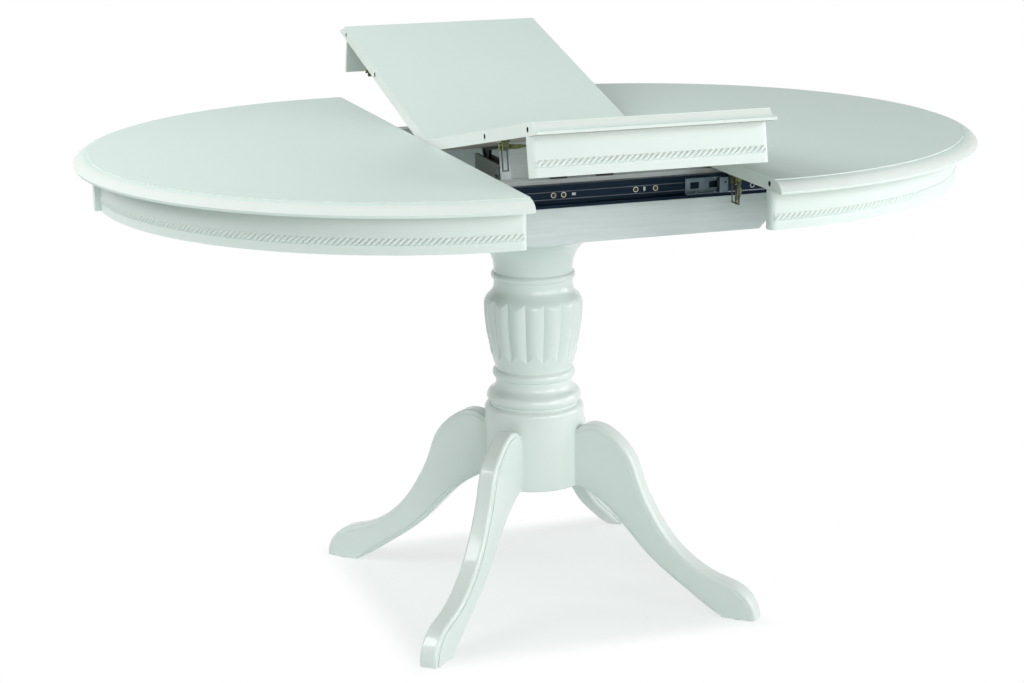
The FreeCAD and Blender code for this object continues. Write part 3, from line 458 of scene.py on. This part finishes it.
def rope_length(name, length, place):
    """One length of moulding; place(along, height, reach) gives a point of it."""
    steps = round(length / STRAND_PITCH * STRAND_STEPS)
    rings = []
    for step in range(steps + 1):
        along = length * step / steps
        rings.append([place(along, height, reach) for height, reach in rope_ring(along)])
    return new_mesh(name, rings)


def half_ropes(half, side):
    """The two curved lengths on a half top's apron, between its end block and the split."""
    first = math.asin(BLOCK_HALF / ROPE_RADIUS)
    last = math.pi / 2 - math.asin(ROPE_STOP / ROPE_RADIUS)
    for number, way in enumerate((-1, 1), start=1):
        from_block = side * way > 0

        def place(along, height, reach):
            turn = along / ROPE_RADIUS
            angle = first + turn if from_block else last - turn
            radius = ROPE_RADIUS + reach
            x = side * (SPLIT + radius * math.cos(angle))
            return x, way * radius * math.sin(angle), ROPE_MIDDLE + height

        piece = rope_length(f"{half}_rope-{number}", ROPE_RADIUS * (last - first), place)
        finish_piece(piece, half + "_half", "white_lacquer", node=half + "_rope")


def wing_rope(wing):
    """The straight length on a wing's apron."""
    side = WING_SIDES[wing]
    node = wing + "_leaf_rope"
    low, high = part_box(node)
    width = high[0] - low[0]

    def place(along, height, reach):
        flat = (side * (width / 2 - along), side * (ROPE_RADIUS + reach), ROPE_MIDDLE + height)
        return lifted(wing, flat)

    finish_piece(rope_length(node + "-1", width, place), wing + "_wing", "white_lacquer", node=node)


half_ropes("right", 1)
half_ropes("left", -1)
for wing_name in WING_SIDES:
    wing_rope(wing_name)


# Brass levers of the leaf locks
LEVER_HALF_WIDE = 4.5 * MM
LEVER_HALF_THICK = 1.2 * MM
LEVER_LENGTH = 40 * MM
LEVER_STEPS = 12
LEVER_TAPER_SHARE = 0.35
TIP_START_SHARE = 0.875
# Keeps the last ring of the rounded tip from closing to a line
TIP_LEAST = 0.05
LEVER_BULGE = 4.5 * MM
BULGE_START_SHARE = 0.28
BULGE_LEAN = 0.6
HANGING_TOP = 5 * MM
HANGING_SETBACK = 2.6 * MM
HANGING_BEND = 1.6 * MM
CLOSED_HEIGHT = 4 * MM
CLOSED_BEND = 3 * MM


def lever_half_width(share):
    """Half the width of a lever at a share of its length: it tapers to a rounded tip."""
    tip = max(share - TIP_START_SHARE, 0) / (1 - TIP_START_SHARE)
    return LEVER_HALF_WIDE * (1 - LEVER_TAPER_SHARE * share) * math.sqrt(max(1 - tip ** 2, TIP_LEAST))


def lever_bulge(share):
    """How far the round of a lever stands out at a share of its length."""
    along = max(share - BULGE_START_SHARE, 0) / (1 - BULGE_START_SHARE)
    return LEVER_BULGE * math.sin(math.pi * along ** BULGE_LEAN)


def lever_rings(middle_y, profile):
    """The rings of a lever; profile(share) gives (x, z) on its two faces at a share of its length."""
    rings = []
    for step in range(LEVER_STEPS + 1):
        share = step / LEVER_STEPS
        half = lever_half_width(share)
        one, other = profile(share)
        corners = ((one, -1), (other, -1), (other, 1), (one, 1))
        rings.append([(x, middle_y + wide * half, z) for (x, z), wide in corners])
    return rings


def hanging_lever(wing):
    """The open lever of a lock under the right half top, which hangs with the wire bail."""
    low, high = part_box(f"right_{wing}_bail")
    axis_x, axis_y = [(low[axis] + high[axis]) / 2 for axis in (0, 1)]

    def profile(share):
        x = axis_x + HANGING_SETBACK - HANGING_BEND * share ** 2
        z = high[2] + HANGING_TOP - LEVER_LENGTH * share
        return (x - LEVER_HALF_THICK, z), (x + LEVER_HALF_THICK + lever_bulge(share), z)

    piece = new_mesh(f"right_{wing}_lever", lever_rings(axis_y, profile))
    finish_piece(piece, f"right_half_{wing}_catch", "brass")


def closed_lever(wing):
    """The shut lever of a lock under the left edge of a wing, which lies along the board."""
    low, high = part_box(f"right_{wing}_bail")
    middle_y = (low[1] + high[1]) / 2
    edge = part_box(wing + "_leaf")[0][0]

    def profile(share):
        x = edge + LEVER_HALF_THICK + LEVER_LENGTH * share
        top = high[2] + CLOSED_HEIGHT - CLOSED_BEND * share ** 2
        return (x, top - LEVER_HALF_THICK * 2 - lever_bulge(share)), (x, top)

    rings = [[lifted(wing, point) for point in ring] for ring in lever_rings(middle_y, profile)]
    finish_piece(new_mesh(f"{wing}_leaf_lever", rings), wing + "_wing", "brass")


for wing_name in WING_SIDES:
    hanging_lever(wing_name)
    closed_lever(wing_name)


# Beads with painted highlights, screw heads with painted shade in their sockets, end plates, painted
# highlights along the runners' lower edges, rivets and eyelets of the slides
SIDES = (-1, 1)
CHANNEL_LOW, CHANNEL_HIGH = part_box("outer_slides")
SLIDE_MIDDLE = (CHANNEL_LOW[2] + CHANNEL_HIGH[2]) / 2
SLIDE_WALL = 1.5 * MM
BEAD_PROUD = 0.4 * MM
BEAD_HALF = 0.6 * MM
BEAD_HEIGHTS = (5 * MM, -6 * MM)
SCREW_PLACES = (-65 * MM, -49.5 * MM, 62.5 * MM, 93.5 * MM)
# Black discs on the screw heads, painted shade in their sockets
SOCKET_SHADE_RADIUS = 3 * MM
SOCKET_SHADE_DEPTH = 0.5 * MM
SOCKET_SHADE_PROUD = 0.12 * MM
END_PLATE_LENGTH = 13.5 * MM
END_PLATE_PROUD = 0.8 * MM
END_PLATE_MARGIN = 0.8 * MM
# Height of the light strip that paints a highlight along a runner's lower edge
EDGE_HIGHLIGHT_HEIGHT = 1.2 * MM
RIVET_RADIUS = 1.7 * MM
RIVET_PLACE = (9.3 * MM, 4 * MM)
EYELET_PLACE = (53 * MM, -3.5 * MM)
EYELET_OUTER = 4 * MM
EYELET_INNER = 2.4 * MM


def slide_beads():
    """The raised lines along each outer channel, real ridges in a lighter steel than the channel: painted
    highlights along them.
    """
    face = abs(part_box("front_rail")[0][1]) + SLIDE_WALL
    bead_face = face + BEAD_PROUD
    lines = [(side, SLIDE_MIDDLE + height) for side in SIDES for height in BEAD_HEIGHTS]
    for number, (side, z) in enumerate(lines, start=1):
        corner = (CHANNEL_LOW[0], side * face, z - BEAD_HALF)
        opposite = (CHANNEL_HIGH[0], side * bead_face, z + BEAD_HALF)
        # Lighter than the channel's dark steel: painted highlights along the ridges
        finish_piece(block(f"slide_bead-{number}", corner, opposite), "base", "dark_wire")


def screw_socket_shades():
    """Black discs standing on the heads of the slides' screws: painted shade in their sockets."""
    head_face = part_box("slide_screws")[1][1]
    places = [(side, x) for side in SIDES for x in SCREW_PLACES]
    for number, (side, x) in enumerate(places, start=1):
        faces = (side * (head_face - SOCKET_SHADE_DEPTH), side * (head_face + SOCKET_SHADE_PROUD))
        socket = disc(f"slide_screw_socket_shade-{number}", (x, SLIDE_MIDDLE), faces, SOCKET_SHADE_RADIUS)
        # Black steel: painted shade in the socket
        finish_piece(socket, "base", "black_steel")


def runner_fittings(half, way):
    """The end plate, a light strip along the lower edge as a painted highlight, the rivet and the eyelet on
    the outer face of each runner of a half top.
    """
    body = half + "_half"
    low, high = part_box(half + "_runners")
    start, end = (low[0], high[0]) if way > 0 else (high[0], low[0])
    plate_end = start + way * END_PLATE_LENGTH
    foot = low[2] + END_PLATE_MARGIN
    rivet_spot = (start + way * RIVET_PLACE[0], SLIDE_MIDDLE + RIVET_PLACE[1])
    eyelet_spot = (start + way * EYELET_PLACE[0], SLIDE_MIDDLE + EYELET_PLACE[1])
    for number, side in enumerate(SIDES, start=1):
        face = side * high[1]
        proud_face = face + side * BEAD_PROUD
        plate_face = face + side * END_PLATE_PROUD
        rivet_face = plate_face + side * BEAD_PROUD
        plate_corner = (plate_end, plate_face, high[2] - END_PLATE_MARGIN)
        plate = block(f"{half}_end_plate-{number}", (start, face, foot), plate_corner)
        finish_piece(plate, body, "grey_plastic")
        # A thin light strip along the runner's lower edge: a painted highlight of its flange edge
        highlight_corner = (end, proud_face, foot + EDGE_HIGHLIGHT_HEIGHT)
        edge_highlight = block(f"{half}_runner_edge_highlight-{number}", (plate_end, face, foot), highlight_corner)
        finish_piece(edge_highlight, body, "zinc_steel")
        rivet = disc(f"{half}_rivet-{number}", rivet_spot, (plate_face, rivet_face), RIVET_RADIUS)
        finish_piece(rivet, body, "black_steel")
        eyelet_faces = (face, proud_face)
        eyelet = disc(f"{half}_eyelet-{number}", eyelet_spot, eyelet_faces, EYELET_OUTER, EYELET_INNER)
        finish_piece(eyelet, body, "zinc_steel")


slide_beads()
screw_socket_shades()
runner_fittings("right", 1)
runner_fittings("left", -1)


# Floor, background and light
FLOOR_REACH = 6
# Square between the feet, with its soft edge, that holds a painted shadow patch: a greyish mix of white and
# the floor's real diffuse shading
SHADOW_PATCH_START = 0.24
SHADOW_PATCH_END = 0.31
SHADE_SHARE = 0.68
FLOOR_COLOUR = (0.79, 0.9, 0.87, 1)
WORLD_LIGHT = 0.13
WORLD_COLOUR = (0.88, 1, 0.96, 1)
WHITE = (1, 1, 1, 1)


def floor_paint():
    """A painted shadow patch in the square between the feet, where a share of white mixes with the floor's
    real diffuse shading and shadow, fading into white further out.
    """
    material = bpy.data.materials.new("floor")
    graph = empty_graph(material)
    paint = graph.node("ShaderNodeBsdfDiffuse")
    paint.inputs["Color"].default_value = FLOOR_COLOUR
    white = graph.node("ShaderNodeEmission")
    place = graph.node("ShaderNodeTexCoord")
    size = graph.node("ShaderNodeVectorMath", operation="ABSOLUTE")
    graph.link(place.outputs["Object"], size.inputs[0])
    parts = graph.node("ShaderNodeSeparateXYZ")
    graph.link(size.outputs["Vector"], parts.inputs["Vector"])
    shadow_patch = graph.node("ShaderNodeMapRange", interpolation_type="SMOOTHSTEP")
    shadow_patch.inputs["From Min"].default_value = SHADOW_PATCH_START
    shadow_patch.inputs["From Max"].default_value = SHADOW_PATCH_END
    shadow_patch.inputs["To Min"].default_value = SHADE_SHARE
    graph.link(graph.math("MAXIMUM", parts.outputs["X"], parts.outputs["Y"]), shadow_patch.inputs["Value"])
    share = graph.math("MULTIPLY", shadow_patch.outputs["Result"], graph.seen())
    shader = graph.blend(share, paint.outputs["BSDF"], white.outputs["Emission"])
    graph.show(shader, "ShaderNodeOutputMaterial")
    return material


def make_floor():
    mesh = bpy.data.meshes.new("floor")
    signs = ((-1, -1), (1, -1), (1, 1), (-1, 1))
    mesh.from_pydata([(x * FLOOR_REACH, y * FLOOR_REACH, 0) for x, y in signs], [], [(0, 1, 2, 3)])
    mesh.materials.append(floor_paint())
    floor = put_in_scene("floor", mesh)


def make_world():
    """White to the camera and in reflections, and a weaker even light for the object."""
    world = bpy.data.worlds.new("studio")
    bpy.context.scene.world = world
    graph = empty_graph(world)
    light = graph.node("ShaderNodeBackground")
    light.inputs["Strength"].default_value = WORLD_LIGHT
    light.inputs["Color"].default_value = WORLD_COLOUR
    white = graph.node("ShaderNodeBackground")
    white.inputs["Color"].default_value = WHITE
    shader = graph.blend(graph.seen(), light.outputs["Background"], white.outputs["Background"])
    graph.show(shader, "ShaderNodeOutputWorld")


# Each lamp's place, size and power
LAMPS = {
    "front_right": ((1.9, -3.0, 1.5), 2.0, 54),
    "front": ((-0.6, -4.2, 1.7), 1.8, 44),
    "right": ((3.2, -0.6, 1.3), 1.8, 30),
    "upper_left": ((-2.6, 0.0, 2.3), 1.6, 47),
    "high_left": ((-1.1, 0.6, 3.2), 1.6, 22),
    "back": ((0.9, 3.6, 0.4), 0.7, 16),
}
# Lamps that leave no highlight
MATT_LAMPS = ("back",)
AIM = Vector((0, 0, 0.55))


def make_lamps():
    for name, (place, size, power) in LAMPS.items():
        data = bpy.data.lights.new(name, "AREA")
        data.shape = "SQUARE"
        data.size = size
        data.energy = power
        lamp = put_in_scene(name, data)
        lamp.location = place
        lamp.rotation_euler = (AIM - Vector(place)).to_track_quat("-Z", "Y").to_euler()
        lamp.visible_glossy = name not in MATT_LAMPS


make_floor()
make_world()
make_lamps()
make_camera()
bpy.context.scene.view_settings.view_transform = "Standard"
